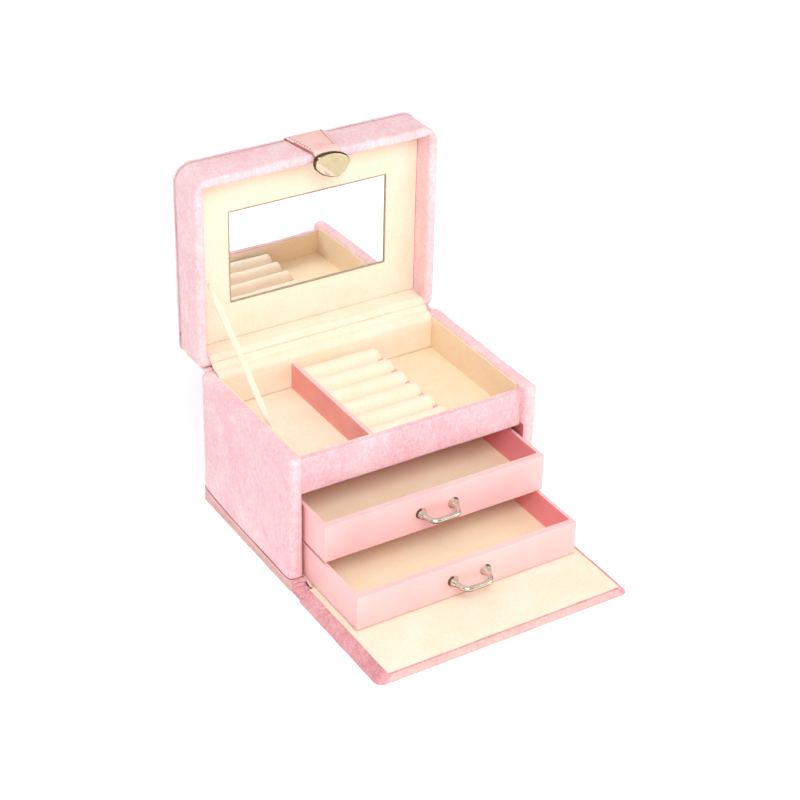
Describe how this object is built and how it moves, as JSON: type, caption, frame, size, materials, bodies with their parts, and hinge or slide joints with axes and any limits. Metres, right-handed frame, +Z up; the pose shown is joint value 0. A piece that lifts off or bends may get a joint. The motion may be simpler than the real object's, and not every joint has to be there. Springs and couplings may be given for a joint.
{
  "type": "jewellery chest with drawers",
  "caption": "Fabric-covered jewellery chest: a hinged lid with a mirror over a lined tray with ring rolls, pull-out drawers with bow pulls, and a drop-down front flap.",
  "frame": {"origin": "middle of the carcass's underside, on the table", "axes": "+X across the width to the viewer's right, +Y to the back, +Z up; the drawers open towards -Y"},
  "size_m": [0.167, 0.2374, 0.2104],
  "materials": {
    "velvet": "short-pile mottled pink suede cloth",
    "cream_lining": "cream short-pile lining",
    "ribbon": "thin cream satin ribbon",
    "rose_card": "rose paper over board",
    "blush_paper": "smooth pale pink paper over board",
    "tan_velvet": "tan cream short-pile lining",
    "nickel": "polished nickel plate",
    "screw_steel": "plain zinc-plated steel",
    "mirror": "silvered glass",
    "foam_card": "grey board spacer",
    "strap_leather": "pale pink stitched leatherette"
  },
  "bodies": {
    "root": {"base_cover": "velvet", "base_board": "rose_card", "left_side_panel": "velvet", "right_side_panel": "velvet", "back_panel": "velvet", "front_rail": "velvet", "drawer_shelf": "rose_card", "tray_floor": "rose_card", "tray_floor_lining": "cream_lining", "tray_front_lining": "cream_lining", "tray_back_lining": "cream_lining", "tray_left_lining": "cream_lining", "tray_right_lining": "cream_lining", "tray_divider": "rose_card", "low_divider": "rose_card", "ring_roll_1": "cream_lining", "ring_roll_2": "cream_lining", "ring_roll_3": "cream_lining", "ring_roll_4": "cream_lining", "ring_roll_5": "cream_lining", "ring_roll_6": "cream_lining", "lid_hinge_cloth": "velvet", "lid_hinge_lining": "cream_lining", "flap_hinge_cloth": "velvet", "lid_stay_ribbon": "ribbon"},
    "lid": {"lid_outer_board": "velvet", "lid_front_wall": "velvet", "lid_back_wall": "velvet", "lid_left_wall": "velvet", "lid_right_wall": "velvet", "lid_inner_panel": "cream_lining", "mirror_glass": "mirror", "mirror_backing": "foam_card", "strap_anchor": "strap_leather"},
    "strap": {"strap_tongue": "strap_leather", "clasp_body": "nickel", "clasp_plate": "nickel", "clasp_magnet": "screw_steel"},
    "flap": {"flap_outer_board": "velvet", "flap_inner_board": "rose_card", "flap_lining": "cream_lining", "flap_keeper": "screw_steel"},
    "upper_drawer": {"upper_drawer_front": "blush_paper", "upper_drawer_left": "blush_paper", "upper_drawer_right": "blush_paper", "upper_drawer_back": "blush_paper", "upper_drawer_bottom": "blush_paper", "upper_drawer_lining": "tan_velvet", "upper_drawer_pull": "nickel", "upper_pull_screws": "screw_steel"},
    "lower_drawer": {"lower_drawer_front": "blush_paper", "lower_drawer_left": "blush_paper", "lower_drawer_right": "blush_paper", "lower_drawer_back": "blush_paper", "lower_drawer_bottom": "blush_paper", "lower_drawer_lining": "tan_velvet", "lower_drawer_pull": "nickel", "lower_pull_screws": "screw_steel"}
  },
  "joints": [
    {"name": "lid_hinge", "type": "hinge", "parent": "root", "child": "lid", "pos_m": [0, 0.057, 0.088], "axis": [1, 0, 0], "range_deg": [0, 90], "deforming": ["lid_hinge_cloth", "lid_hinge_lining", "lid_stay_ribbon"]},
    {"name": "strap_bend", "type": "hinge", "parent": "lid", "child": "strap", "pos_m": [0.0035, 0.057, 0.2096], "axis": [1, 0, 0], "range_deg": [-90, 0]},
    {"name": "upper_drawer_slide", "type": "slide", "parent": "root", "child": "upper_drawer", "axis": [0, -1, 0], "range_m": [-0.033, 0.042]},
    {"name": "lower_drawer_slide", "type": "slide", "parent": "root", "child": "lower_drawer", "axis": [0, -1, 0], "range_m": [-0.068, 0.007]},
    {"name": "flap_hinge", "type": "hinge", "parent": "root", "child": "flap", "pos_m": [0, -0.065, 0.0005], "axis": [1, 0, 0], "range_deg": [-0.5, 0], "deforming": ["flap_hinge_cloth"]}
  ],
  "couplings": [
    {"joint": "strap_bend", "follows": "lid_hinge", "ratio": -1}
  ]
}
